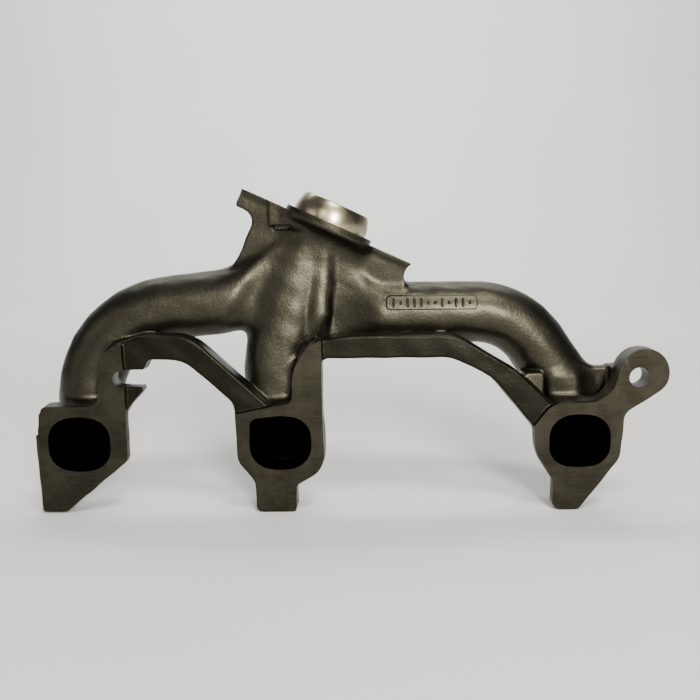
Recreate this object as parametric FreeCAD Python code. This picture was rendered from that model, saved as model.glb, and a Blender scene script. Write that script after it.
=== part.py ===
"""Exhaust manifold for one bank of three cylinders, a single grey-iron casting.

Frame, in millimetres: +X runs along the engine, +Z is up, and the head face is the plane Y = 0 with the
casting behind it, so the face looks towards -Y. The origin is the middle of the middle port, on that face.

The real piece is one casting. It is built here as its named features, each a closed solid that meets its
neighbours face to face: three port flanges joined by two tie bars, three necks and runners, the collector,
the two-eared outlet flange with its turned ball seat, and the webs and lugs between them.
"""
import FreeCAD, Part
import os
from math import cos, pi, radians, sin, tan

V = FreeCAD.Vector

# Driving dimensions
CYLINDER_PITCH = 112.0          # port 1 to port 2
VALVE_PITCH = 55.0              # added between ports 2 and 3, whose valves are in the other order
PORT_X = (-CYLINDER_PITCH, 0.0, CYLINDER_PITCH + VALVE_PITCH)
PORT_W, PORT_H, PORT_CORNER = 34.0, 28.6, 11.0
FLANGE_T = 12.5                 # port flanges and mounting ear
LEDGE_Y, LEDGE = 6.5, 3.5       # the end flanges step in behind this depth, on the side facing port 2
BAR_FRONT, BAR_BACK = 2.0, 15.6  # the tie bars stay as cast, set back from the machined face
PLANE_Y = 31.0                  # the runners, collector and outlet share this plane
RUNNER_R = (18.5, 18.3, 17.6)   # outside radius of each runner
WALL = 4.2
NECK_W, NECK_H, NECK_CORNER = 45.0, 40.0, 16.0
NECK_TOP = 21.0                 # neck ends and runner starts at this height
NECK_END_Y = 26.0               # the oblong neck has become round here

OUTLET_TILT = radians(24.2)     # outlet axis, from +Z towards +X
OUTLET_CENTRE = V(28.2, PLANE_Y, 121.35)  # middle of the ball seat's base
BALL_R, SEAT_H = 21.8, 11.0     # the seat is a zone of a ball centred on its base
OUTLET_BORE_R = 15.5
DISC_R, DISC_H = 26.0, 2.6
EAR_REACH, EAR_HALF_W = 51.8, 11.0
OUTLET_FLANGE_T = 10.0
STUD_PITCH, STUD_HOLE_R = 80.0, 4.4
CONE_LENGTH = 62.0              # the collector's cone starts this far below the seat's base
COLLECTOR_Z = 56.0              # runner 2 ends and the collector starts at this height
COLLECTOR_X = (-25.0, 54.0)     # it ends at these planes, where runners 1 and 3 start
RUNNER_3_INNER_X, RUNNER_3_LOW_Z = 22.0, 48.0  # runner 3's bend under the collector starts past these

EAR_HOLE = (198.5, 35.7)
EAR_HOLE_R = 5.5
SLOT_Z, SLOT_R, SLOT_X = 36.8, 4.5, -87.3  # stud slot in flange 1, open towards +X
WEB_FRONT, WEB_T = PLANE_Y - EAR_HALF_W, 6.0
BOSS_FRONT, BOSS_Z = 14.0, 119.6  # block in front of the left ear: its face and its underside
FAR = 400.0                     # longer than the part, for cutting tools

AXIS = V(sin(OUTLET_TILT), 0, cos(OUTLET_TILT))
ACROSS = V(cos(OUTLET_TILT), 0, -sin(OUTLET_TILT))

# Outlines of what lies along the head face: corners (x, z, rounding radius), counter-clockwise
FLANGE_1 = [(-134.6, -38.8, 1.5), (-121, -38.8, 4), (-85.5, -9.5, 6), (-85.5, 32, 0), (-86.3, 56, 0.8),
            (-95.5, 54.4, 12), (-99.6, 42, 10), (-100.6, 21.5, 6), (-132.4, 21.5, 3), (-134.6, 8, 4)]
FLANGE_1_EDGE = [(-138.4, 4, 1), (-136.8, -38.8, 1), (-128, -38.8, 0), (-128, 17, 0), (-136, 17, 1.2),
                 (-136.4, 5, 0.4)]
FLANGE_2 = [(-14.2, -40, 4), (8.6, -40, 2.5), (8.6, -24.5, 2.5), (24.7, -15.3, 14), (23.5, 18, 40),
            (23.5, 57.9, 0.8), (15.2, 53.8, 9), (7.4, 41, 16), (6.4, 22.3, 4), (-4, 20.8, 8),
            (-24.9, 16.4, 1), (-24, -10.5, 12), (-14.4, -22.5, 8)]
FLANGE_3 = [(152.6, -39.9, 5), (167.2, -39.9, 4), (189.8, -9.8, 14), (191.3, 15.8, 8), (215, 30.7, 13.2),
            (215, 51.4, 13.2), (190.8, 51.4, 13.2), (183, 21.7, 16), (151.4, 21.7, 12), (141.2, 8.3, 3),
            (142.4, -6.5, 20), (152.5, -22.5, 3)]
TIE_BAR_1 = [(-86, 41.4, 0), (-75.3, 41.4, 0.8), (-72.6, 47.2, 3.5), (-53.2, 47.3, 22), (-26.2, 22.6, 8),
             (-24.6, 16, 0), (-4, 18.4, 0), (-49.2, 60.4, 25), (-76, 60.4, 15), (-86, 56.8, 0)]
TIE_BAR_2 = [(23.5, 40, 0), (24.4, 47.2, 6), (95.5, 47.2, 20), (117.5, 36.5, 25), (142.5, 6.6, 0),
             (150.5, 21, 0), (131.5, 39.3, 20), (97.8, 59.7, 25), (40, 59.7, 60), (23.5, 57.4, 0)]
SLOT_LUG = [(-86, 32, 0), (-86, 18, 0), (-75.9, 29.6, 0.8), (-75.9, 31.9, 0.8)]
EAR_CUT = (190.5, 26.4, radians(48))  # point and direction of the plane where the ear starts

# Runner centrelines from the port inwards: points with the bend radius at each
END_1, END_2, END_3 = (22.4, 108.6), (24.0, 112.1), (26.0, 108.0)
PATHS = [
    [(PORT_X[0], 0, 0, 0), (-113.4, PLANE_Y, 0, 19), (-113.4, PLANE_Y, 67.6, 54), (-25, PLANE_Y, 77.6, 55),
     (END_1[0], PLANE_Y, END_1[1], 0)],
    [(PORT_X[1], 0, 0, 0), (-3, PLANE_Y, 0, 20), (-4.5, PLANE_Y, 48.8, 60), (END_2[0], PLANE_Y, END_2[1], 0)],
    [(PORT_X[2], 0, 0, 0), (165.5, PLANE_Y, 0, 19), (165.5, PLANE_Y, 25.2, 18.5),
     (134.2, PLANE_Y, 69.6, 44), (37, PLANE_Y, 69.6, 30), (END_3[0], PLANE_Y, END_3[1], 0)],
]


def rounded_wire(corners, closed):
    """Wire through 3-D points (Vector, radius), with an arc of that radius in place of each corner."""
    count = len(corners)
    edges, here = [], None
    ends = []
    for i, (point, radius) in enumerate(corners):
        if radius == 0 or (not closed and i in (0, count - 1)):
            ends.append((point, None, point))
            continue
        back = (corners[i - 1][0] - point).normalize()
        ahead = (corners[(i + 1) % count][0] - point).normalize()
        half = back.getAngle(ahead) / 2
        reach = radius / tan(half)
        middle = (back + ahead).normalize() * (radius / sin(half) - radius)
        ends.append((point + back * reach, point + middle, point + ahead * reach))
    for i, (start, middle, end) in enumerate(ends):
        if here is not None and here.distanceToPoint(start) > 1e-6:
            edges.append(Part.LineSegment(here, start).toShape())
        if middle is not None:
            edges.append(Part.Arc(start, middle, end).toShape())
        here = end
    if closed and here.distanceToPoint(ends[0][0]) > 1e-6:
        edges.append(Part.LineSegment(here, ends[0][0]).toShape())
    return Part.Wire(edges)


def plate(outline, front, back):
    """An (x, z, radius) outline, solid from Y = front to Y = back."""
    wire = rounded_wire([(V(x, front, z), r) for x, z, r in outline], True)
    return Part.Face(wire).extrude(V(0, back - front, 0))


def tube(path, radius):
    """Round bar along a rounded centreline, made of cylinders and ring segments."""
    spine = rounded_wire([(V(x, y, z), r) for x, y, z, r in path], False)
    bar = None
    for edge in spine.Edges:
        start, finish = edge.valueAt(edge.FirstParameter), edge.valueAt(edge.LastParameter)
        if isinstance(edge.Curve, Part.Line):
            piece = Part.makeCylinder(radius, start.distanceToPoint(finish), start, finish - start)
        else:
            ahead = edge.tangentAt(edge.FirstParameter)
            centre = edge.Curve.Center
            turn = (start - centre).cross(ahead)
            angle = (start - centre).getAngle(finish - centre)
            section = Part.Face(Part.Wire(Part.makeCircle(radius, start, ahead)))
            piece = section.revolve(centre, turn, angle * 180 / pi)
        bar = piece if bar is None else bar.fuse(piece)
    return bar.removeSplitter()


def oblong(x, y, z, width, height, corner):
    """Rounded rectangle across Y, as a wire of eight edges."""
    corners = [(-1, -1), (1, -1), (1, 1), (-1, 1)]
    return rounded_wire([(V(x + a * width / 2, y, z + b * height / 2), corner) for a, b in corners], True)


def oblong_to_round(x, near, far, width, height, corner, radius):
    """Passage or neck that starts oblong at Y = near and is round at Y = far."""
    almost = radius * 0.995
    ends = [oblong(x, near, 0, width, height, corner), oblong(x, far, 0, 2 * radius, 2 * radius, almost)]
    return Part.makeLoft(ends, True, True)


def block(x, y, z):
    """Box from three (low, high) pairs."""
    return Part.makeBox(x[1] - x[0], y[1] - y[0], z[1] - z[0], V(x[0], y[0], z[0]))


def on_outlet(across, along, y=PLANE_Y):
    """Point at a distance across and along the outlet axis from the seat's base."""
    point = OUTLET_CENTRE + ACROSS * across + AXIS * along
    return V(point.x, y, point.z)


def outlet_cylinder(radius, low, high):
    return Part.makeCylinder(radius, high - low, on_outlet(0, low), AXIS)


def outlet_slab(reach, low, high):
    """Space between two heights along the outlet axis, out to a reach either side of it."""
    corners = [on_outlet(a, v, -FAR) for a, v in ((-reach, low), (reach, low), (reach, high), (-reach, high))]
    return Part.Face(Part.makePolygon(corners + corners[:1])).extrude(V(0, 2 * FAR, 0))


def largest(shape):
    """The largest solid of a cut shape: what is left out is a sliver."""
    return sorted(shape.Solids, key=lambda solid: solid.Volume)[-1]


def gas_passages():
    """What the exhaust gas fills, from the three ports to the outlet, as separate simple solids."""
    passages = [outlet_cylinder(OUTLET_BORE_R, -24, SEAT_H + 1)]
    for x, path, radius in zip(PORT_X, PATHS, RUNNER_R):
        bore = radius - WALL
        passages.append(tube(path, bore))
        passages.append(oblong_to_round(x, -0.5, 17, PORT_W, PORT_H, PORT_CORNER, bore))
    return passages


def hollowed(shape, passages):
    """Shape with every passage taken out of it."""
    for passage in passages:
        shape = shape.cut(passage)
    return shape


def outer_runner(index):
    """Outside of one runner with its oblong neck, from the flange's back to the collector."""
    run = tube(PATHS[index], RUNNER_R[index])
    neck = oblong_to_round(PORT_X[index], FLANGE_T, NECK_END_Y, NECK_W, NECK_H, NECK_CORNER,
                           RUNNER_R[index] + 0.8)
    return run.fuse(neck).common(block((-FAR, FAR), (FLANGE_T, FAR), (-FAR, FAR)))


def stud_slot():
    """Slot cut through flange 1 for a stud, with a round inner end."""
    round_end = Part.makeCylinder(SLOT_R, FLANGE_T, V(SLOT_X, 0, SLOT_Z), V(0, 1, 0))
    return round_end.fuse(block((SLOT_X, -75), (0, FLANGE_T), (SLOT_Z - SLOT_R, SLOT_Z + SLOT_R)))


def ear_side():
    """Half space that holds the mounting ear."""
    x, z, direction = EAR_CUT
    ahead, side = V(cos(direction), 0, sin(direction)), V(-sin(direction), 0, cos(direction))
    base = V(x, -FAR, z)
    reach = 60
    corners = [base + side * reach, base - side * reach, base - side * reach + ahead * reach,
               base + side * reach + ahead * reach]
    return Part.Face(Part.makePolygon(corners + corners[:1])).extrude(V(0, 2 * FAR, 0))


def collector_cone():
    """Cone that gathers the three runners under the outlet flange."""
    height = CONE_LENGTH - DISC_H - OUTLET_FLANGE_T
    return Part.makeCone(RUNNER_R[1] - 1.5, DISC_R - 1.5, height, on_outlet(0, -CONE_LENGTH), AXIS)


def ear_scoop():
    """Concave end of the outlet flange's right ear and of the web under it."""
    return Part.makeCylinder(8.6, 2 * FAR, V(78.7, -FAR, 90.5), V(0, 1, 0))


def end_flange(outline, step, free_below):
    """Port flange whose free edge facing the middle port steps in towards the back."""
    back = plate(outline, LEDGE_Y, FLANGE_T)
    narrow = back.common(back.translated(V(step, 0, 0)))
    kept = back.common(block((-FAR, FAR), (0, FAR), (free_below, FAR)))
    return plate(outline, 0, LEDGE_Y).fuse(narrow).fuse(kept)


def outlet_flange():
    """Plate with two stud ears, and the raised disc that carries the seat."""
    side = [(-EAR_REACH, EAR_HALF_W, 6), (-28, EAR_HALF_W + 0.5, 5), (-12, DISC_R + 0.8, 18)]
    ring = [(a, -w, r) for a, w, r in side] + [(-a, -w, r) for a, w, r in reversed(side)]
    ring += [(-a, w, r) for a, w, r in side] + [(a, w, r) for a, w, r in reversed(side)]
    low = -DISC_H - OUTLET_FLANGE_T
    wire = rounded_wire([(on_outlet(a, low, PLANE_Y + w), r) for a, w, r in ring], True)
    body = Part.Face(wire).extrude(AXIS * OUTLET_FLANGE_T)
    for side in (-1, 1):
        hole = Part.makeCylinder(STUD_HOLE_R, FAR, on_outlet(side * STUD_PITCH / 2, -60), AXIS)
        body = body.cut(hole)
    return body.fuse(outlet_cylinder(DISC_R, -DISC_H, 0)).cut(ear_scoop())


def outlet_seat():
    """Turned ball seat: a zone of a ball, bored through."""
    ball = Part.makeSphere(BALL_R, OUTLET_CENTRE)
    return ball.common(outlet_slab(FAR, 0, SEAT_H)).cut(outlet_cylinder(OUTLET_BORE_R, -1, SEAT_H + 1))


def under_outlet(corners):
    """Web under the outlet flange, from corners (across, along, radius)."""
    wire = rounded_wire([(on_outlet(a, v, WEB_FRONT), r) for a, v, r in corners], True)
    return Part.Face(wire).extrude(V(0, WEB_T, 0))


def build():
    """Every node's solid, by name."""
    low = -DISC_H - OUTLET_FLANGE_T
    gas = gas_passages()
    outer = [outer_runner(i) for i in range(3)]
    tubes = outer[0].fuse(outer[1]).fuse(outer[2]).fuse(collector_cone())
    tubes = tubes.cut(outlet_slab(EAR_REACH + 1, low, FAR))
    nodes = {}

    slot = stud_slot()
    first = end_flange(FLANGE_1, -LEDGE, 18).fuse(plate(FLANGE_1_EDGE, 5, FLANGE_T))
    nodes["port_flange_1"] = hollowed(first.cut(slot), gas)
    nodes["port_flange_2"] = hollowed(plate(FLANGE_2, 0, FLANGE_T), gas)
    last = hollowed(end_flange(FLANGE_3, LEDGE, 6), gas)
    ear = last.common(ear_side())
    hole = Part.makeCylinder(EAR_HOLE_R, FLANGE_T, V(EAR_HOLE[0], 0, EAR_HOLE[1]), V(0, 1, 0))
    nodes["port_flange_3"] = last.cut(ear_side())
    nodes["mounting_ear"] = ear.cut(hole)

    flanges = nodes["port_flange_1"].fuse(nodes["port_flange_2"]).fuse(last)
    taken = flanges.fuse(tubes)
    nodes["tie_bar_1"] = plate(TIE_BAR_1, BAR_FRONT, BAR_BACK).cut(taken).cut(slot)
    nodes["tie_bar_2"] = plate(TIE_BAR_2, BAR_FRONT, BAR_BACK).cut(taken)
    nodes["stud_slot_lug"] = plate(SLOT_LUG, BAR_FRONT, FLANGE_T).cut(taken).cut(slot)

    hollow = hollowed(tubes, gas)
    left, right = COLLECTOR_X
    low_part = block((-FAR, FAR), (-FAR, FAR), (-FAR, NECK_TOP))
    for name, side in (("1", (-FAR, left)), ("3", (right, FAR))):
        piece = hollow.common(block(side, (-FAR, FAR), (-FAR, FAR)))
        nodes["port_neck_" + name] = piece.common(low_part)
        nodes["runner_" + name] = piece.cut(low_part)
    middle = hollow.common(block((left, right), (-FAR, FAR), (-FAR, FAR)))
    foot = block((-FAR, RUNNER_3_INNER_X), (-FAR, FAR), (-FAR, COLLECTOR_Z))
    foot = foot.fuse(block((-FAR, FAR), (-FAR, FAR), (-FAR, RUNNER_3_LOW_Z)))
    below = middle.common(foot)
    nodes["port_neck_2"] = below.common(low_part)
    nodes["runner_2"] = below.cut(low_part)
    nodes["collector"] = middle.cut(below)

    nodes["outlet_flange"] = hollowed(outlet_flange(), gas)
    nodes["outlet_seat"] = outlet_seat()

    boss = block((-5.4, 14), (BOSS_FRONT, WEB_FRONT), (BOSS_Z, 140)).cut(outlet_slab(FAR, -DISC_H, FAR))
    nodes["outlet_ear_boss"] = boss.cut(nodes["outlet_flange"]).cut(tubes)
    left_web = under_outlet([(-47.5, low, 0), (-39.7, low - 0.8, 7), (-39.7, -46, 0),
                             (-8, -46, 0), (-8, low, 0)])
    groove = block((-3, 6.5), (WEB_FRONT, WEB_FRONT + 4), (BOSS_Z - 1.8, BOSS_Z))
    nodes["outlet_web_left"] = left_web.cut(tubes).cut(groove)
    right_web = under_outlet([(8, low, 0), (8, -26, 0), (60, -26, 0), (60, low, 0)])
    nodes["outlet_web_right"] = right_web.cut(tubes).cut(ear_scoop())

    outline = [(168, 20, 0), (192.8, 20, 0), (192.8, 40.2, 0), (190, 38.6, 8), (178, 38.4, 8), (168, 44, 0)]
    gusset = plate(outline, 19, 26)
    rib = block((187.5, 192.8), (FLANGE_T, 26), (20, 39))
    nodes["ear_gusset"] = gusset.fuse(rib).cut(tubes)
    lump = plate([(137, 24.6, 0), (148, 22, 0), (148, 37, 1.5), (137, 37, 1.5)], 8, FLANGE_T + 8)
    nodes["runner_3_lump"] = lump.cut(taken).cut(nodes["tie_bar_2"])

    pad_length = block((59.5, 111), (0, PLANE_Y), (72.6, 80.6))
    shell = Part.makeCylinder(RUNNER_R[2] + 0.9, 60, V(56, PLANE_Y, 69.6), V(1, 0, 0))
    nodes["casting_mark_pad"] = shell.common(pad_length).cut(tubes)
    return nodes


os.makedirs("parts", exist_ok=True)
for name, shape in build().items():
    solid = largest(shape)
    spare = shape.Volume - solid.Volume
    print(f"{name:18s} {solid.Volume / 1000:8.2f} cm3  valid {solid.isValid()}  left out {spare:.1f} mm3")
    solid.exportStep(f"parts/{name}.step")
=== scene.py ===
"""Looks of the exhaust manifold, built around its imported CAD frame.

The casting is worked out as one signed distance in millimetres, so that runners, flanges and webs run
into each other with cast fillets. Its surface is meshed once, then machined with exact cuts, as the real
casting is, and divided into closed pieces along the CAD's nodes.
"""
from concurrent.futures import ThreadPoolExecutor
from math import atan2, cos, pi, radians, sin, sqrt, tan
from time import time

import bpy
import numpy as np
from mathutils import Matrix, Vector


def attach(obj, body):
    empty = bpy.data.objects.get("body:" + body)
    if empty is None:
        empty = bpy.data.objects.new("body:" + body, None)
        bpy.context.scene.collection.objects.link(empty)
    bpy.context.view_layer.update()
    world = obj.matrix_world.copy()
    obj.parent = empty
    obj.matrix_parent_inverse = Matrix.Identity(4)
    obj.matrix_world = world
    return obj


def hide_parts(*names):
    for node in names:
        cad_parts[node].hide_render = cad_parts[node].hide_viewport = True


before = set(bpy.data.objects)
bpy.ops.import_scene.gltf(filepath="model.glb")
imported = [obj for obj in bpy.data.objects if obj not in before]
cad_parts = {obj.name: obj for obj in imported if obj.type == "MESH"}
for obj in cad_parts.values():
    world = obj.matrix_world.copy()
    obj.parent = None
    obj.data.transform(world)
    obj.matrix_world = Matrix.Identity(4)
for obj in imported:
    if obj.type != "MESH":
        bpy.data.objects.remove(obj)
started = time()
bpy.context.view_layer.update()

MM = 0.001

# Driving dimensions in millimetres, in the CAD's own frame
PORT_X = (-112.0, 0.0, 167.0)
PORT_W, PORT_H = 34.0, 28.6
# Corner radii of each port: right top, left top, left low, right low
PORT_CORNERS = ((11, 11, 11, 11), (11, 4.5, 12, 12), (12, 12, 11, 11))
FLANGE_T = 12.5
BAR_FRONT, BAR_BACK = 2.0, 15.6
PLANE_Y = 31.0
RUNNER_R = (18.5, 18.3, 17.6)
WALL = 4.2
NECK_W, NECK_H, NECK_CORNER, NECK_END_Y = 45.0, 40.0, 16.0, 26.0
OUTLET_TILT = radians(24.2)
OUTLET_CENTRE = np.array([28.2, PLANE_Y, 121.35])
BALL_R, SEAT_H, OUTLET_BORE_R = 21.8, 11.0, 15.5
DISC_R, DISC_H = 26.0, 2.6
EAR_REACH, EAR_HALF_W, OUTLET_FLANGE_T = 51.8, 11.0, 10.0
STUD_PITCH, STUD_HOLE_R = 80.0, 4.4
EAR_HOLE, EAR_HOLE_R = (198.5, 35.7), 5.5
SLOT_X, SLOT_Z, SLOT_R = -87.3, 36.8, 4.5
WEB_FRONT, WEB_BACK = PLANE_Y - EAR_HALF_W, PLANE_Y - EAR_HALF_W + 6.0
BOSS_FRONT, BOSS_Z = 14.0, 119.6
COLLECTOR_X, COLLECTOR_Z, NECK_TOP = (-25.0, 54.0), 56.0, 21.0

# Stock in front of the head face for milling, and how the plates widen towards the back
STOCK = 4
PLATE_DRAFT = 0.03
# How fast the outlet's webs, ears and boss lean back as they go down
FACE_DRAFT = 0.085
# The sloping lower edges of flanges 1 and 3 draw in behind this depth, by this much per millimetre
TAPER_Y, TAPER = 5.5, 0.5

# Depths (front, back) of the smaller features, and the rib beside the gusset
EDGE_1_Y, LUMP_Y, FOOT_3_Y, GUSSET_Y = (5, FLANGE_T), (8, 24), (14.2, 30), (19, 26)
RIB_X, RIB_Y, RIB_Z = (187.5, 192.8), (8, 26), (18, 39)
# Where runners and necks start behind the head face, and how much wider than its runner a neck ends
RUNNER_FRONT, NECK_FRONT, NECK_FLARE = 10.0, 8, 0.8

# Cone under the outlet: radius at its foot, how it widens, and how far its middle is set back
CONE_R, CONE_FOOT, CONE_SLOPE = 15.5, 62, 0.075
CONE_FLARE, CONE_FLARE_FROM, CONE_FLARE_TO = 6.0, -24, -4
CONE_BACK, CONE_BACK_FROM, CONE_BACK_TO = 2.5, 6, 24

# Flattened front of the collector: depth at (FRONT_X, FRONT_Z) and how it changes from there
FRONT_Y, FRONT_X, FRONT_Z = 13.4, 10, 80
FRONT_RISE_X, FRONT_RISE_Z, FRONT_LEVEL_Z = 0.05, 0.10, 100
FRONT_TURN, FRONT_TURN_X = 0.25, 34

# How far forward the gas passages come in the upper part, and the depth at which a port has become round
GAS_FRONT, ENTRY_Y = 22.4, 17

# Fillets between the casting's features
BODY_FILLET, CONE_FILLET, COLLAR_FILLET, OUTLET_FILLET = 9, 5, 15, 4.5
PLATES_FILLET, BARS_FILLET, RIDGE_FILLET = 5, 1.6, 3.5

AXIS = np.array([sin(OUTLET_TILT), 0, cos(OUTLET_TILT)])
ACROSS = np.array([cos(OUTLET_TILT), 0, -sin(OUTLET_TILT)])

# Outlines along the head face: corners (x, z, rounding radius), counter-clockwise
FLANGE_1 = [(-134.6, -38.8, 1.5), (-121, -38.8, 4), (-85.5, -9.5, 6), (-85.5, 32, 0), (-86.3, 56, 0.8),
            (-95.5, 54.4, 12), (-99.6, 42, 10), (-100.6, 21.5, 6), (-132.4, 21.5, 3), (-134.6, 8, 4)]
FLANGE_1_EDGE = [(-136.8, -38.8, 1), (-128, -38.8, 0), (-128, 17, 0), (-136, 17, 1.2), (-136.4, 5, 0.4),
                 (-138.4, 4, 1)]
FLANGE_2 = [(-14.2, -40, 4), (8.6, -40, 2.5), (8.6, -24.5, 2.5), (24.7, -15.3, 14), (23.5, 18, 40),
            (23.5, 57.9, 0.8), (15.2, 53.8, 9), (7.4, 41, 16), (6.4, 22.3, 4), (-4, 20.8, 8),
            (-24.9, 16.4, 1), (-24, -10.5, 12), (-14.4, -22.5, 8)]
FLANGE_3 = [(152.6, -39.9, 5), (167.2, -39.9, 4), (189.8, -9.8, 14), (191.3, 15.8, 8), (215, 30.7, 13.2),
            (215, 51.4, 13.2), (190.8, 51.4, 13.2), (183, 21.7, 16), (151.4, 21.7, 12), (141.2, 8.3, 3),
            (142.4, -6.5, 20), (152.5, -22.5, 3)]
TIE_BAR_1 = [(-86, 41.4, 0), (-75.3, 41.4, 0.8), (-72.6, 47.2, 3.5), (-53.2, 47.3, 22), (-26.2, 22.6, 8),
             (-24.6, 12, 0), (-4, 12, 0), (-4, 18.4, 0), (-49.2, 60.4, 25), (-76, 60.4, 15), (-92, 55.4, 0)]
TIE_BAR_2 = [(20, 40, 0), (24.4, 47.2, 6), (95.5, 47.2, 20), (117.5, 36.5, 25), (142.5, 6.6, 0),
             (150, 6, 0), (156, 16, 0), (131.5, 39.3, 20), (97.8, 59.7, 25), (40, 59.7, 60), (20, 57, 0)]
SLOT_LUG = [(-90, 32, 0), (-90, 14, 0), (-75.9, 29.6, 0.8), (-75.9, 31.9, 0.8)]
GUSSET = [(160, 20, 0), (192.8, 20, 0), (192.8, 40.2, 0), (190, 38.6, 8), (178, 38.4, 8), (160, 44, 0)]
RUNNER_3_LUMP = [(137, 20, 0), (148, 18, 0), (148, 37, 1.5), (137, 37, 1.5)]
RUNNER_3_FOOT = [(151.5, 12, 1), (169.4, 12, 1), (169.4, 35.8, 4), (151.5, 35.8, 4)]

# Height of runner 3's level stretch
RUNNER_3_Z = 69.6
# Runner centrelines from the port inwards: points with the bend radius at each
PATHS = [
    [(PORT_X[0], 0, 0, 0), (-113.4, PLANE_Y, 0, 19), (-113.4, PLANE_Y, 67.6, 54), (-25, PLANE_Y, 77.6, 55),
     (22.4, PLANE_Y + 3, 108.6, 0)],
    [(PORT_X[1], 0, 0, 0), (-3, PLANE_Y - 3, 0, 20), (-4.5, PLANE_Y - 3, 48.8, 60),
     (24.0, PLANE_Y + 3, 112.1, 0)],
    [(PORT_X[2], 0, 0, 0), (165.5, PLANE_Y, 0, 19), (165.5, PLANE_Y, 25.2, 18.5),
     (134.2, PLANE_Y, RUNNER_3_Z, 44), (37, PLANE_Y, RUNNER_3_Z, 30), (26.0, PLANE_Y + 3, 108.0, 0)],
]
# Fold of iron down the collector's front, on runner 2's right shoulder
RIDGE = [(24.8, 21.4, 112), (23.4, 20.6, 92), (21.8, 18.6, 71), (18.5, 24, 56)]
RIDGE_R = 6.5
# Hollows scooped out of the collector's front, each a line and a radius: one to the right of the fold,
# and one between runners 1 and 2
VALLEYS = [([(34.5, -6.4, 102, 0), (33.5, -6.4, 62, 0)], 26.0),
           ([(3.4, 7.2, 116, 0), (-12.5, 6.8, 83, 40), (-21.5, 6.4, 64, 0)], 10.5)]
# Iron that fills the inside corner between runners 2 and 3
FILL_LINE, FILL_R = [(10, 27, 57, 0), (42, 27, 61.5, 0)], 8.5


# ---------------------------------------------------------------- outlines and signed distances

def unit(vector):
    """Vector of length 1 in the same direction."""
    return vector / np.linalg.norm(vector)


def rounded(corners, step=radians(9)):
    """Points of a closed 2-D outline whose corners (x, z, radius) are rounded by arcs."""
    points = []
    for i, (x, z, radius) in enumerate(corners):
        corner = np.array([x, z], float)
        back = unit(np.array(corners[i - 1][:2]) - corner)
        ahead = unit(np.array(corners[(i + 1) % len(corners)][:2]) - corner)
        half = np.arccos(np.clip(back @ ahead, -1, 1)) / 2
        if radius == 0 or half > pi / 2 - 0.01:
            points.append(corner)
            continue
        centre = corner + unit(back + ahead) * radius / sin(half)
        start = corner + back * radius / tan(half) - centre
        finish = corner + ahead * radius / tan(half) - centre
        turn = pi - 2 * half
        if start[0] * finish[1] - start[1] * finish[0] < 0:
            turn = -turn
        count = max(int(abs(turn) / step), 2)
        first = atan2(start[1], start[0])
        for n in range(count + 1):
            angle = first + turn * n / count
            points.append(centre + radius * np.array([cos(angle), sin(angle)]))
    return np.array(points)


def polygon_distance(points, x, z):
    """Signed distance from places (x, z) to a closed polygon, negative inside."""
    nearest = np.full(x.shape, np.inf)
    inside = np.zeros(x.shape, bool)
    for (ax, az), (bx, bz) in zip(points, np.roll(points, -1, 0)):
        ex, ez = bx - ax, bz - az
        along = np.clip(((x - ax) * ex + (z - az) * ez) / (ex * ex + ez * ez + 1e-12), 0, 1)
        nearest = np.minimum(nearest, (x - ax - ex * along) ** 2 + (z - az - ez * along) ** 2)
        if bz != az:
            inside ^= ((az > z) != (bz > z)) & (x < ax + (z - az) * ex / ez)
    return np.where(inside, -1, 1) * np.sqrt(nearest)


class Outline:
    """Rounded outline whose signed distance is looked up in a table around it."""
    CELL, MARGIN = 0.25, 12.0

    def __init__(self, corners):
        self.points = rounded(corners)
        self.low = self.points.min(0) - self.MARGIN
        counts = np.ceil((self.points.max(0) + self.MARGIN - self.low) / self.CELL).astype(int) + 1
        x, z = np.meshgrid(*(self.low[i] + self.CELL * np.arange(counts[i]) for i in (0, 1)), indexing="ij")
        self.table = polygon_distance(self.points, x.ravel(), z.ravel()).reshape(x.shape)

    def __call__(self, x, z):
        top = np.array(self.table.shape) - 1.001
        u, v = (x - self.low[0]) / self.CELL, (z - self.low[1]) / self.CELL
        cu, cv = np.clip(u, 0, top[0]), np.clip(v, 0, top[1])
        outside = np.hypot(u - cu, v - cv) * self.CELL
        i, j = cu.astype(int), cv.astype(int)
        fu, fv = cu - i, cv - j
        t = self.table
        low = t[i, j] * (1 - fu) + t[i + 1, j] * fu
        high = t[i, j + 1] * (1 - fu) + t[i + 1, j + 1] * fu
        return low * (1 - fv) + high * fv + outside


def blend_min(a, b, k):
    """Union of two distances with a fillet of about k between them."""
    h = np.maximum(k - np.abs(a - b), 0) / k
    return np.minimum(a, b) - h * h * k / 4


def blend_max(a, b, k):
    """Intersection of two distances with a rounded edge."""
    return -blend_min(-a, -b, k)


def slab(value, low, high):
    """Distance to the space between two planes, given the coordinate across them."""
    return np.abs(value - (low + high) / 2) - (high - low) / 2


def corner_rounded(a, b, radius):
    """Intersection of two distances, its outer edge rounded to a true radius."""
    a, b = a + radius, b + radius
    return np.hypot(np.maximum(a, 0), np.maximum(b, 0)) + np.minimum(np.maximum(a, b), 0) - radius


def route(points):
    """Straight runs and arcs of a rounded 3-D centreline."""
    spans, here = [], None
    for i, point in enumerate(points):
        corner, radius = np.array(point[:3], float), point[3]
        if radius == 0:
            start = finish = corner
        else:
            back = unit(np.array(points[i - 1][:3]) - corner)
            ahead = unit(np.array(points[i + 1][:3]) - corner)
            half = np.arccos(back @ ahead) / 2
            start = corner + back * radius / tan(half)
            finish = corner + ahead * radius / tan(half)
            centre = corner + unit(back + ahead) * radius / sin(half)
        if here is not None:
            spans.append(("run", here, start))
        if radius:
            u = unit(start - centre)
            spans.append(("bend", centre, u, -back, np.cross(u, -back), radius, pi - 2 * half))
        here = finish
    return spans


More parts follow.
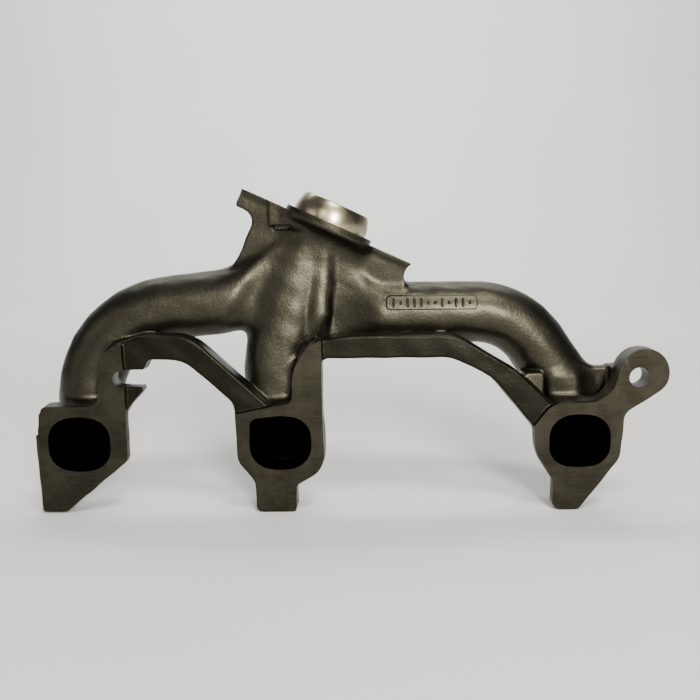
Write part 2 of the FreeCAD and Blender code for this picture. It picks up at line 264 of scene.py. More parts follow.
def route_distance(spans, x, y, z):
    """Distance from places to a centreline."""
    nearest = np.full(x.shape, np.inf)
    for span in spans:
        if span[0] == "run":
            (ax, ay, az), e = span[1], span[2] - span[1]
            px, py, pz = x - ax, y - ay, z - az
            along = np.clip((px * e[0] + py * e[1] + pz * e[2]) / (e @ e), 0, 1)
            away = np.sqrt((px - e[0] * along) ** 2 + (py - e[1] * along) ** 2 + (pz - e[2] * along) ** 2)
        else:
            centre, u, v, n, radius, turn = span[1:]
            px, py, pz = x - centre[0], y - centre[1], z - centre[2]
            a = px * u[0] + py * u[1] + pz * u[2]
            b = px * v[0] + py * v[1] + pz * v[2]
            h = px * n[0] + py * n[1] + pz * n[2]
            angle = np.arctan2(b, a)
            away = np.hypot(np.hypot(a, b) - radius, h)
            away[(angle < -0.02) | (angle > turn + 0.02)] = np.inf
        nearest = np.minimum(nearest, away)
    return nearest


def oblong_distance(x, z, half_w, half_h, corners):
    """Rounded rectangle about the origin; corners are radii at right top, left top, left low, right low."""
    right_top, left_top, left_low, right_low = corners
    radius = np.where(z > 0, np.where(x > 0, right_top, left_top), np.where(x > 0, right_low, left_low))
    a, b = np.abs(x) - half_w + radius, np.abs(z) - half_h + radius
    return np.hypot(np.maximum(a, 0), np.maximum(b, 0)) + np.minimum(np.maximum(a, b), 0) - radius


def outlet_place(x, y, z):
    """Coordinates across the outlet axis and along it, distance from it, and depth behind it."""
    px, py, pz = x - OUTLET_CENTRE[0], y - OUTLET_CENTRE[1], z - OUTLET_CENTRE[2]
    across = px * ACROSS[0] + pz * ACROSS[2]
    along = px * AXIS[0] + pz * AXIS[2]
    return across, along, np.hypot(across, py), py


ROUTES = [route(path) for path in PATHS]
HOLLOWS = [(route(line), radius) for line, radius in VALLEYS]
CORNER_FILL = route(FILL_LINE)
RIDGE_RUNS = [("run", np.array(a, float), np.array(b, float)) for a, b in zip(RIDGE, RIDGE[1:])]
OUTLINES = {name: Outline(corners) for name, corners in (
    ("flange_1", FLANGE_1), ("edge_1", FLANGE_1_EDGE), ("flange_2", FLANGE_2), ("flange_3", FLANGE_3),
    ("bar_1", TIE_BAR_1), ("bar_2", TIE_BAR_2), ("slot_lug", SLOT_LUG), ("gusset", GUSSET),
    ("lump", RUNNER_3_LUMP), ("foot_3", RUNNER_3_FOOT))}
# Outline of the outlet flange: corners (across, depth, rounding radius), mirrored twice
PLATE_HALF = [(-EAR_REACH, EAR_HALF_W, 5), (-28, EAR_HALF_W + 0.5, 6), (-12, DISC_R + 0.8, 18)]
PLATE = [(a, -w, r) for a, w, r in PLATE_HALF] + [(-a, -w, r) for a, w, r in reversed(PLATE_HALF)]
PLATE += [(-a, w, r) for a, w, r in PLATE_HALF] + [(a, w, r) for a, w, r in reversed(PLATE_HALF)]
OUTLINES["outlet"] = Outline(PLATE)
UNDERSIDE = -DISC_H - OUTLET_FLANGE_T
# Web under the left ear: corners (across, along, rounding radius)
LEFT_WEB = [(-47.5, 6, 0), (-47.5, UNDERSIDE, 0), (-39.7, UNDERSIDE - 0.8, 7), (-39.7, -46, 0),
            (-8, -46, 0), (-8, 6, 0)]
OUTLINES["left_web"] = Outline(LEFT_WEB)
# Hollow end of the right ear: centre x, z and radius
SCOOP = (78.7, 90.5, 8.6)


def plate_distance(name, x, y, z, front, back, edge=0.8, draft=0.0):
    """Plate along the head face between two depths, wider towards the back by its draft."""
    return corner_rounded(OUTLINES[name](x, z) - draft * y, slab(y, front, back), edge)


def fade(value, low, high):
    """0 below low, 1 above high, smooth between."""
    t = np.clip((value - low) / (high - low), 0, 1)
    return t * t * (3 - 2 * t)


def gas_distance(x, y, z):
    """Everything the exhaust gas fills."""
    across, along, away, _ = outlet_place(x, y, z)
    gas = corner_rounded(away - OUTLET_BORE_R, slab(along, -22, 40), 1.5)
    for i, port_x in enumerate(PORT_X):
        bore = RUNNER_R[i] - WALL
        gas = blend_min(gas, route_distance(ROUTES[i], x, y, z) - bore, 3)
        t = np.clip(y / ENTRY_Y, 0, 1)
        half_w = PORT_W / 2 + (bore - PORT_W / 2) * t
        half_h = PORT_H / 2 + (bore - PORT_H / 2) * t
        corners = [r + (bore - r) * t for r in PORT_CORNERS[i]]
        entry = oblong_distance(x - port_x, z, half_w, half_h, corners)
        gas = blend_min(gas, np.maximum(entry, slab(y, -30, ENTRY_Y)), 5)
    # The limit moves 14 mm forward below a height of 62 mm, and out of the way below 50 mm
    front = GAS_FRONT - y - 14 * fade(-z, -62, -50) - 60 * fade(-z, -50, -30)
    return blend_max(gas, front, 2)


def casting_distance(x, y, z):
    """Signed distance to the rough casting, before machining."""
    flange_2 = plate_distance("flange_2", x, y, z, -STOCK, FLANGE_T, draft=PLATE_DRAFT)
    taper = np.maximum(y - TAPER_Y, 0) * TAPER
    free_1 = fade(x, -104, -98) * fade(-z, -20, -14)
    flat_1 = OUTLINES["flange_1"](x, z) - PLATE_DRAFT * y + taper * free_1
    flange_1 = corner_rounded(flat_1, slab(y, -STOCK, FLANGE_T), 0.8)
    edge_1 = plate_distance("edge_1", x, y, z, *EDGE_1_Y, 0.5)
    flange_1 = blend_min(flange_1, edge_1, 0.8)
    free_3 = fade(-x, -160, -154) * fade(-z, -10, -4)
    flat_3 = OUTLINES["flange_3"](x, z) - PLATE_DRAFT * y + taper * free_3
    flange_3 = corner_rounded(flat_3, slab(y, -STOCK, FLANGE_T), 0.8)

    bar_1 = plate_distance("bar_1", x, y, z, BAR_FRONT, BAR_BACK, 1.3, PLATE_DRAFT)
    bar_2 = plate_distance("bar_2", x, y, z, BAR_FRONT, BAR_BACK, 1.3, PLATE_DRAFT)
    lug = plate_distance("slot_lug", x, y, z, BAR_FRONT, FLANGE_T, 1.0)
    lump = plate_distance("lump", x, y, z, *LUMP_Y, 1.0)
    plates = np.minimum(np.minimum(flange_1, flange_2), flange_3)
    bars = blend_min(np.minimum(bar_1, bar_2), lump, 2)
    bars = blend_min(bars, lug, 1)
    gusset = plate_distance("gusset", x, y, z, *GUSSET_Y, 1.5)
    rib = np.maximum(slab(x, *RIB_X), slab(z, *RIB_Z))
    gusset = blend_min(gusset, corner_rounded(rib, slab(y, *RIB_Y), 1.5), 3)
    plates = blend_min(plates, gusset, 3.5)

    runners = []
    for i, port_x in enumerate(PORT_X):
        run = route_distance(ROUTES[i], x, y, z) - RUNNER_R[i]
        run = blend_max(run, RUNNER_FRONT - y, 4)
        t = np.clip((y - FLANGE_T) / (NECK_END_Y - FLANGE_T), 0, 1)
        end = RUNNER_R[i] + NECK_FLARE
        half_w, half_h = NECK_W / 2 + (end - NECK_W / 2) * t, NECK_H / 2 + (end - NECK_H / 2) * t
        radius = NECK_CORNER + (end - NECK_CORNER) * t
        neck = oblong_distance(x - port_x, z, half_w, half_h, [radius] * 4)
        neck = corner_rounded(neck, slab(y, NECK_FRONT, NECK_END_Y), 2)
        runners.append(blend_min(run, neck, 4))
    foot_3 = plate_distance("foot_3", x, y, z, *FOOT_3_Y, 3)
    runners[2] = blend_min(runners[2], foot_3, 6)
    ridge = route_distance(RIDGE_RUNS, x, y, z) - RIDGE_R

    across, along, away, py = outlet_place(x, y, z)
    flare = CONE_FLARE * fade(along, CONE_FLARE_FROM, CONE_FLARE_TO)
    cone_r = CONE_R + CONE_SLOPE * (along + CONE_FOOT) + flare
    set_back = CONE_BACK * fade(-along, CONE_BACK_FROM, CONE_BACK_TO)
    cone = blend_max((np.hypot(across, py - set_back) - cone_r) * 0.97, slab(along, -60, 4), 2)
    body = blend_min(runners[0], runners[1], BODY_FILLET)
    body = blend_min(body, runners[2], BODY_FILLET)
    body = blend_min(body, cone, CONE_FILLET)
    corner = route_distance(CORNER_FILL, x, y, z) - FILL_R
    body = blend_min(body, corner, BODY_FILLET)

    draft = FACE_DRAFT * (-DISC_H - along)
    ears = np.maximum(np.abs(across) - EAR_REACH, np.abs(py) - EAR_HALF_W + draft)
    web_depth = np.maximum(WEB_FRONT + draft - y, y - WEB_BACK)
    ears = corner_rounded(ears, slab(along, UNDERSIDE, 6), 1.2)
    plate = corner_rounded(OUTLINES["outlet"](across, py), slab(along, -DISC_H - 1.6, 6), 1.0)
    plate = blend_min(plate, ears, 3)
    left_web = corner_rounded(OUTLINES["left_web"](across, along), web_depth, 1.2)
    right_web = np.maximum(slab(across, 8, 53), slab(along, -27, 6))
    right_web = corner_rounded(right_web, web_depth, 1.2)
    boss = np.maximum(slab(x, -5.4, 13), slab(z, BOSS_Z, 150))
    boss = corner_rounded(boss, np.maximum(BOSS_FRONT + draft - y, y - PLANE_Y), 1.0)
    boss = np.maximum(boss, along - 6)
    outlet = np.minimum(plate, np.minimum(left_web, right_web))
    outlet = blend_min(outlet, boss, 1.0)
    scoop = SCOOP[2] - np.hypot(x - SCOOP[0], z - SCOOP[1])
    outlet = blend_max(outlet, scoop, 0.8)

    # Hollows, fold and flattened front shape the collector before the outlet is joined on
    for line, radius in HOLLOWS:
        body = blend_max(body, radius - route_distance(line, x, y, z), 3.4 + radius / 9)
    body = blend_min(body, ridge, RIDGE_FILLET)
    front = (FRONT_Y + FRONT_RISE_X * (x - FRONT_X) + FRONT_RISE_Z * (np.minimum(z, FRONT_LEVEL_Z) - FRONT_Z)
             - FRONT_TURN * np.maximum(x - FRONT_TURN_X, 0))
    body = blend_max(body, (front - y) * 0.95, 4)
    collar = corner_rounded(away - DISC_R + 0.4, slab(along, -DISC_H - 1.0, 6), 1.0)
    body = blend_min(body, collar, COLLAR_FILLET)
    body = blend_min(body, outlet, OUTLET_FILLET)

    # Groove under the boss, open slot for a stud, uneven cast skin, and the gas passages
    groove = np.maximum(np.maximum(slab(x, -3, 6.5), slab(z, BOSS_Z - 1.9, BOSS_Z + 0.2)),
                        slab(y, 10, WEB_FRONT + 2.5))
    body = blend_max(body, -groove, 1.2)
    shape = blend_min(blend_min(body, plates, PLATES_FILLET), bars, BARS_FILLET)
    slot = np.maximum(np.abs(z - SLOT_Z) - SLOT_R, SLOT_X - x)
    slot = np.minimum(slot, np.hypot(x - SLOT_X, z - SLOT_Z) - SLOT_R)
    slot = np.maximum(np.maximum(slot, y - 14), x + 70)
    shape = blend_max(shape, -slot, 0.8)
    waves = (np.sin(x * 0.31 + 1.3 * np.sin(z * 0.23)) * np.sin(y * 0.37 + 1.0)
             + np.sin(z * 0.41 + x * 0.17 + 2.0) * np.sin(y * 0.29 + x * 0.11))
    shape = shape + 0.11 * waves
    return blend_max(shape, -gas_distance(x, y, z), 0.8)


# ---------------------------------------------------------------- meshing

def in_chunks(distance, points, length=32768):
    """Distances of many points, worked out a chunk to each core."""
    chunks = [np.ascontiguousarray(points[i:i + length].T) for i in range(0, len(points), length)]
    with ThreadPoolExecutor() as pool:
        return np.concatenate(list(pool.map(lambda chunk: distance(*chunk), chunks)))


def corner_shifts():
    """Steps from a cell to its eight corners."""
    return [(i, j, k) for i in (0, 1) for j in (0, 1) for k in (0, 1)]


def part_of(grid, shift, counts):
    """View of a grid of corners, shifted by 0 or 1 along each side."""
    return grid[tuple(slice(s, s + n) for s, n in zip(shift, counts))]


def known_points(distance, low, high, step, block=4):
    """Distances at the grid points near the surface, and which cells lie there."""
    blocks = np.ceil((high - low) / (step * block)).astype(int)
    centres = low + (np.indices(blocks).reshape(3, -1).T + 0.5) * step * block
    near = np.abs(in_chunks(distance, centres)) < step * block * 1.05
    cells = near.reshape(blocks)
    for axis in range(3):
        cells = cells.repeat(block, axis)
    counts = np.array(cells.shape)
    wanted = np.zeros(counts + 1, bool)
    for shift in corner_shifts():
        part_of(wanted, shift, counts)[...] |= cells
    values = np.full(wanted.shape, 1e3)
    values[wanted] = in_chunks(distance, low + np.argwhere(wanted) * step)
    return values, cells, wanted


def without_saddles(values, step):
    """Nudge corners so that no cell side has its inside corners on one diagonal only."""
    for _ in range(4):
        for axis in range(3):
            u, v = (axis + 1) % 3, (axis + 2) % 3
            inside = np.moveaxis(values, (axis, u, v), (0, 1, 2)) < 0
            a, b = inside[:, :-1, :-1], inside[:, 1:, :-1]
            c, d = inside[:, 1:, 1:], inside[:, :-1, 1:]
            where = np.argwhere((a == c) & (b == d) & (a != b))
            moved = np.moveaxis(values, (axis, u, v), (0, 1, 2))
            for i, j, k in where:
                j += not moved[i, j, k] < 0
                moved[i, j, k] = step * 0.01
    return values


def surface_net(distance, low, high, step):
    """Closed mesh of where a distance is zero, as points and outward quads."""
    low, high = np.array(low, float), np.array(high, float)
    values, cells, wanted = known_points(distance, low, high, step)
    values = without_saddles(values, step)
    inside = values < 0
    counts = cells.shape
    corners = sum(part_of(inside, shift, counts).astype(np.uint8) for shift in corner_shifts())
    active = cells & (corners > 0) & (corners < 8)
    number = np.full(counts, -1)
    number[active] = np.arange(active.sum())
    ijk = np.argwhere(active)
    total, hits = np.zeros(ijk.shape), np.zeros(len(ijk))
    faces = []
    for axis in range(3):
        u, v = np.roll(np.eye(3, dtype=int), -axis - 1, 0)[:2]
        ahead = np.eye(3, dtype=int)[axis]
        for shift in (0 * u, u, v, u + v):
            va, vb = (values[tuple((ijk + shift + end).T)] for end in (0, ahead))
            cross = (va < 0) != (vb < 0)
            t = va / np.where(cross, va - vb, 1)
            total += (shift + t[:, None] * ahead) * cross[:, None]
            hits += cross
        before, after = (part_of(inside, end, np.array(inside.shape) - ahead) for end in (0 * ahead, ahead))
        known = part_of(wanted, ahead, np.array(inside.shape) - ahead)
        known = known & part_of(wanted, 0 * ahead, np.array(inside.shape) - ahead)
        edges = np.argwhere((before != after) & known)
        ring = np.stack([number[tuple((edges - shift).T)] for shift in (0 * u, u, u + v, v)], 1)
        outward = before[tuple(edges.T)]
        faces += [ring[outward], ring[~outward][:, ::-1]]
    return low + (ijk + total / hits[:, None]) * step, np.concatenate(faces)


def slopes(distance, points, gap):
    """Gradient of a distance at points, by differences over a gap."""
    shifts = np.eye(3) * gap
    pairs = [in_chunks(distance, points + s) - in_chunks(distance, points - s) for s in shifts]
    return np.stack(pairs, 1) / (2 * gap)


def settled(distance, points, step, rounds=2):
    """Points moved on to the surface, never further than half a cell at a time."""
    for _ in range(rounds):
        away = in_chunks(distance, points)
        slope = slopes(distance, points, 0.05)
        steep = np.maximum((slope ** 2).sum(1), 0.3)
        move = np.clip(away / steep, -step / 2, step / 2)
        points = points - move[:, None] * slope
    return points


def new_object(name, points, faces):
    """Mesh object in metres from points in millimetres and faces of one size, or a list of mixed faces."""
    mesh = bpy.data.meshes.new(name)
    if isinstance(faces, np.ndarray):
        mesh.vertices.add(len(points))
        mesh.vertices.foreach_set("co", (np.asarray(points) * MM).astype(np.float32).ravel())
        mesh.loops.add(faces.size)
        mesh.loops.foreach_set("vertex_index", faces.astype(np.int32).ravel())
        mesh.polygons.add(len(faces))
        mesh.polygons.foreach_set("loop_start", np.arange(0, faces.size, faces.shape[1], dtype=np.int32))
        mesh.update(calc_edges=True)
    else:
        mesh.from_pydata([tuple(p) for p in np.asarray(points, float) * MM], [], faces)
    shape = bpy.data.objects.new(name, mesh)
    bpy.context.scene.collection.objects.link(shape)
    return shape


# ---------------------------------------------------------------- cutting tools and zones

def extruded(name, outline, along):
    """Prism from a flat ring of 3-D points, moved along a vector."""
    outline, along = np.asarray(outline, float), np.asarray(along, float)
    ring = np.roll(outline, -1, 0)
    if np.cross(outline, ring).sum(0) @ along > 0:
        outline = outline[::-1]
    n = len(outline)
    points = np.concatenate([outline, outline + along])
    sides = [[i, i + n, (i + 1) % n + n, (i + 1) % n] for i in range(n)]
    return new_object(name, points, [list(range(n)), list(range(n, 2 * n))[::-1]] + sides)


def zone(outline, front, back):
    """Prism across the head face from (x, z) corners."""
    return extruded("zone", [(x, front, z) for x, z in outline], (0, back - front, 0))


def box_zone(x, y, z):
    """Box from three (low, high) pairs."""
    return zone([(x[0], z[0]), (x[1], z[0]), (x[1], z[1]), (x[0], z[1])], *y)


def on_outlet(across, along, y=PLANE_Y):
    """Point at a distance across and along the outlet axis."""
    point = OUTLET_CENTRE + ACROSS * across + AXIS * along
    return np.array([point[0], y, point[2]])


def outlet_zone(outline, front, back):
    """Prism across the head face from (across, along) corners."""
    return extruded("zone", [on_outlet(a, v, front) for a, v in outline], (0, back - front, 0))


def outlet_drill(radius, low, high, across=0, sides=128):
    """Round cutter along the outlet axis."""
    turns = [2 * pi * i / sides for i in range(sides)]
    ring = [on_outlet(across + radius * cos(t), low, PLANE_Y + radius * sin(t)) for t in turns]
    return extruded("drill", ring, AXIS * (high - low))


def grown(points, grow):
    """Outline moved outwards."""
    ahead, back = np.roll(points, -1, 0) - points, points - np.roll(points, 1, 0)
    ahead = ahead / np.linalg.norm(ahead, axis=1)[:, None]
    back = back / np.linalg.norm(back, axis=1)[:, None]
    side = ahead + back
    side = side / np.linalg.norm(side, axis=1)[:, None]
    return points + grow * np.stack([side[:, 1], -side[:, 0]], 1)


def boolean(shape, tool, operation):
    """New mesh of a shape cut with a tool."""
    change = shape.modifiers.new("cut", "BOOLEAN")
    change.operation, change.object, change.solver = operation, tool, "MANIFOLD"
    ready = shape.evaluated_get(bpy.context.evaluated_depsgraph_get())
    mesh = bpy.data.meshes.new_from_object(ready)
    shape.modifiers.remove(change)
    return mesh


def cut(shape, tool):
    """Machine a shape with a tool, and throw the tool away."""
    old, shape.data = shape.data, boolean(shape, tool, "DIFFERENCE")
    bpy.data.meshes.remove(old)
    bpy.data.objects.remove(tool)


def taken(shape, name, tool):
    """What lies in a zone, taken out of a shape as an object of its own."""
    piece = bpy.data.objects.new(name, boolean(shape, tool, "INTERSECT"))
    bpy.context.scene.collection.objects.link(piece)
    cut(shape, tool)
    return piece


# Outlines of the zones that hold each flange, a little larger than the flange except where it meets a bar
FLANGE_ZONES = {
    "port_flange_1": [(-143, -42), (-117, -42), (-82, -12), (-82, 17), (-85.5, 18.5), (-85.5, 32),
                      (-86.3, 57), (-86.6, 59.5), (-97.5, 58), (-103, 43), (-104.5, 25.5), (-143, 25.5)],
    "port_flange_2": [(-17, -43), (11, -43), (11, -27), (28, -17), (26.5, 38), (23.5, 41), (23.5, 58.2),
                      (23.2, 60.5), (13, 57), (4.6, 43), (3.6, 25), (-4.5, 21.5), (-25.2, 17),
                      (-27.5, 15), (-27, -11), (-17, -25)],
    "port_flange_3": [(149.6, -43), (170, -43), (193, -12), (194.5, 13), (219, 28), (219, 56), (187, 56),
                      (179.5, 25), (152, 24.5), (150.6, 21), (141.7, 8), (138, 6), (139.3, -8), (149.6, -24)],
}
# Where the mounting ear is divided from flange 3: a point on the cut and the direction across it
EAR_SPLIT = (190.5, 26.4, radians(48))
FAR = 300.0
# Reach of the outlet's milling cutters: half their length across, and their depths
MILL_HALF, MILL_Y = 54, (-60, 120)


def half_plane(x, z, direction):
    """Square zone outline on the far side of a line through (x, z), square to a direction."""
    ahead = np.array([cos(direction), sin(direction)])
    side = np.array([-ahead[1], ahead[0]])
    base = np.array([x, z])
    return [base - 60 * side, base - 60 * side + 60 * ahead, base + 60 * side + 60 * ahead, base + 60 * side]


def machined(step):
    """The whole casting, meshed and then machined on the head face and at the outlet."""
    points, faces = surface_net(casting_distance, (-144, -6, -46), (222, 62, 154), step)
    print(f"{time() - started:6.1f} s  surface of {len(points)} points")
    points = settled(casting_distance, points, step)
    print(f"{time() - started:6.1f} s  settled")
    shape = new_object("casting", points, faces)
    cut(shape, box_zone((-FAR, FAR), (-40, 0), (-FAR, FAR)))
    turns = [2 * pi * i / 96 for i in range(96)]
    hole = [(EAR_HOLE[0] + EAR_HOLE_R * cos(t), EAR_HOLE[1] + EAR_HOLE_R * sin(t)) for t in turns]
    cut(shape, zone(hole, -5, 25))
    level = [(-MILL_HALF, 0), (MILL_HALF, 0), (MILL_HALF, 40), (-MILL_HALF, 40)]
    cut(shape, outlet_zone(level, *MILL_Y))
    beside = [(-MILL_HALF, -DISC_H), (MILL_HALF, -DISC_H), (MILL_HALF, 20), (-MILL_HALF, 20)]
    above = outlet_zone(beside, *MILL_Y)
    cut(above, outlet_drill(DISC_R, -10, 30))
    cut(shape, above)
    for side in (-1, 1):
        cut(shape, outlet_drill(STUD_HOLE_R, -24, 6, side * STUD_PITCH / 2, 64))
    return shape


def divided(shape):
    """The casting's pieces, by CAD node name."""
    pieces = {}

    def take(name, tool, source=shape):
        """Take what lies in a zone out of its source, under a node's name."""
        pieces[name] = taken(source, name, tool)
        return pieces[name]

    for name, outline in FLANGE_ZONES.items():
        take(name, zone(outline, -5, FLANGE_T))
    take("mounting_ear", zone(half_plane(*EAR_SPLIT), -5, 40), pieces["port_flange_3"])
    for name, key in (("tie_bar_1", "bar_1"), ("tie_bar_2", "bar_2")):
        outline = grown(OUTLINES[key].points, 1.4)
        if key == "bar_1":
            slot_side = [(-86.2, 19), (-73, 26), (-73, 37), (-86.2, 37)]
            take("stud_slot_lug", zone(slot_side, 0, FLANGE_T + 1.5))
        take(name, zone(outline, 0, BAR_BACK + 0.6))
    take("ear_gusset", box_zone((180, 200), (0, 28.5), (19.5, 47)))
    take("runner_3_lump", box_zone((135, 149.5), (0, 21.5), (18, 39)))

    outline = grown(OUTLINES["outlet"].points, 1.2)
    ring = [on_outlet(a, UNDERSIDE, PLANE_Y + w) for a, w in outline]
    take("outlet_flange", extruded("zone", ring, AXIS * 20))
    take("outlet_ear_boss", box_zone((-8, 14), (5, WEB_FRONT), (BOSS_Z - 1.4, 160)))
    left = [(-52, UNDERSIDE + 3), (-52, -20), (-44, -24), (-44, -49), (-41.5, -47), (-21, -16), (-17, -10)]
    take("outlet_web_left", outlet_zone(left, WEB_FRONT - 1.5, WEB_BACK + 1.2))
    right = [(21, UNDERSIDE + 3), (21, -16), (30, -27.5), (62, -27.5), (62, UNDERSIDE + 3)]
    take("outlet_web_right", outlet_zone(right, WEB_FRONT - 1.5, WEB_BACK + 1.2))

    for name, low, high in (("1", -FAR, COLLECTOR_X[0]), ("3", COLLECTOR_X[1], FAR)):
        side = take("runner_" + name, box_zone((low, high), (-FAR, FAR), (-FAR, FAR)))
        take("port_neck_" + name, box_zone((-FAR, FAR), (-FAR, FAR), (-FAR, NECK_TOP)), side)
    take("port_neck_2", box_zone((-FAR, FAR), (-FAR, FAR), (-FAR, NECK_TOP)))
    foot = [(-90, 0), (90, 0), (90, 48), (22, 48), (22, COLLECTOR_Z), (-90, COLLECTOR_Z)]
    take("runner_2", zone(foot, -FAR, FAR))
    shape.name = "collector"
    pieces["collector"] = shape
    return pieces


# How near a point is to the surface to take its slope, and how well the slope must agree (cosine)
NEAR, AGREES = 0.25, 0.6


def smooth_normals(piece, distance):
    """Corner normals: the casting's own slope where it fits, crisp at machined edges."""
    mesh = piece.data
    mesh.polygons.foreach_set("use_smooth", np.ones(len(mesh.polygons), bool))
    mesh.set_sharp_from_angle(angle=radians(32))
    corners = np.zeros(len(mesh.loops) * 3, np.float32)
    mesh.corner_normals.foreach_get("vector", corners)
    corners = corners.reshape(-1, 3)
    points = np.zeros(len(mesh.vertices) * 3, np.float32)
    mesh.vertices.foreach_get("co", points)
    points = points.reshape(-1, 3) / MM
    slope = slopes(distance, points, 0.25)
    slope /= np.maximum(np.linalg.norm(slope, axis=1), 1e-6)[:, None]
    on_casting = np.abs(in_chunks(distance, points)) < NEAR
    vertex = np.zeros(len(mesh.loops), np.int32)
    mesh.loops.foreach_get("vertex_index", vertex)
    fits = on_casting[vertex] & ((corners * slope[vertex]).sum(1) > AGREES)
    corners[fits] = slope[vertex][fits]
    mesh.normals_split_custom_set(corners)


def mark_soot_and_shade(piece):
    """Mark the faces that line the gas passages, to be coloured near black as soot and painted shade."""
    mesh = piece.data
    centres = np.zeros(len(mesh.polygons) * 3, np.float32)
    mesh.polygons.foreach_get("center", centres)
    centres = centres.reshape(-1, 3) / MM
    lining = (np.abs(in_chunks(gas_distance, centres)) < 0.35) & (centres[:, 1] > 0.3)
    mark = mesh.attributes.new("soot_and_shade", "FLOAT", "FACE")
    mark.data.foreach_set("value", lining.astype(np.float32))


# ---------------------------------------------------------------- materials

# Base colours of the iron: cast skin, the sand grains on it, a darker strip just behind the head face,
# the milled face and its cutter marks, and soot with painted shade darkening the gas passages
SKIN_DARK, SKIN_LIGHT = (0.035, 0.0327, 0.0238, 1), (0.048, 0.0446, 0.0325, 1)
GRAIN = (0.078, 0.072, 0.051, 1)
# Darker colour on faces within 2.7 mm of the head face, which covers the tie bars' fronts
DARK_FRONT_STRIP = (0.014, 0.0131, 0.0095, 1)
MILLED_DARK, MILLED_LIGHT = (0.022, 0.0204, 0.0145, 1), (0.038, 0.0350, 0.0248, 1)
CUTTER_MARK = (0.048, 0.044, 0.031, 1)
# Near black in the gas passages: soot, and painted shade for the dark inside of the ports
SOOT_AND_SHADE = (0.0035, 0.0033, 0.0030, 1)
# Depths in metres up to which a face counts as milled, and as the darker strip behind the head face
MILLED_Y, DARK_STRIP_Y = 0.00004, 0.0027
# Base colours of the seat: turned steel, stained steel and the crests of the turning lines
STEEL, STAINED, CREST = (0.36, 0.318, 0.215, 1), (0.19, 0.163, 0.104, 1), (0.52, 0.48, 0.38, 1)
WARM = (1.0, 0.97, 0.91)


class Nodes:
    """Short way to write a material's node tree."""

    def __init__(self, name):
        self.material = bpy.data.materials.new(name)
        self.material.use_nodes = True
        self.tree = self.material.node_tree
        self.shader = self.tree.nodes["Principled BSDF"]
        self.place = self.add("ShaderNodeTexCoord").outputs["Object"]

    def add(self, kind, inputs=(), **settings):
        """New node with its settings and inputs."""
        node = self.tree.nodes.new(kind)
        for key, value in settings.items():
            setattr(node, key, value)
        for key, value in dict(inputs).items():
            self.put(node.inputs[key], value)
        return node

    def put(self, socket, value):
        """Link another socket to an input, or set it to a constant."""
        if isinstance(value, bpy.types.NodeSocket):
            self.tree.links.new(value, socket)
        else:
            socket.default_value = value

    def math(self, operation, a, b=0.0, c=0.0):
        """One step of arithmetic."""
        return self.add("ShaderNodeMath", {0: a, 1: b, 2: c}, operation=operation).outputs[0]

    def ramp(self, value, low, high, to_low=0.0, to_high=1.0):
        """Smooth change from one range of values to another."""
        keys = {"Value": value, "From Min": low, "From Max": high, "To Min": to_low, "To Max": to_high}
        return self.add("ShaderNodeMapRange", keys, interpolation_type="SMOOTHSTEP").outputs[0]

    def noise(self, scale, detail=3.0, rough=0.5, place=None):
        """Fractal noise."""
        keys = {"Vector": place or self.place, "Scale": scale, "Detail": detail, "Roughness": rough}
        return self.add("ShaderNodeTexNoise", keys).outputs["Fac"]

    def mapped(self, rotation=(0, 0, 0), scale=(1, 1, 1), shift=(0, 0, 0)):
        """Object coordinates, turned, scaled and shifted."""
        keys = {"Vector": self.place, "Rotation": rotation, "Scale": scale, "Location": shift}
        return self.add("ShaderNodeMapping", keys).outputs[0]

    def mix(self, factor, a, b):
        """Blend of two colours."""
        node = self.add("ShaderNodeMix", data_type="RGBA")
        for index, value in ((0, factor), (6, a), (7, b)):
            self.put(node.inputs[index], value)
        return node.outputs[2]

    def bump(self, height, strength, distance, normal=None):
        """Normal over a height, added to an earlier normal if there is one."""
        keys = {"Height": height, "Strength": strength, "Distance": distance}
        if normal:
            keys["Normal"] = normal
        return self.add("ShaderNodeBump", keys).outputs[0]

    def finish(self, **values):
        """Set the shader's inputs and give back the material."""
        for key, value in values.items():
            self.put(self.shader.inputs[key.replace("_", " ")], value)
        return self.material


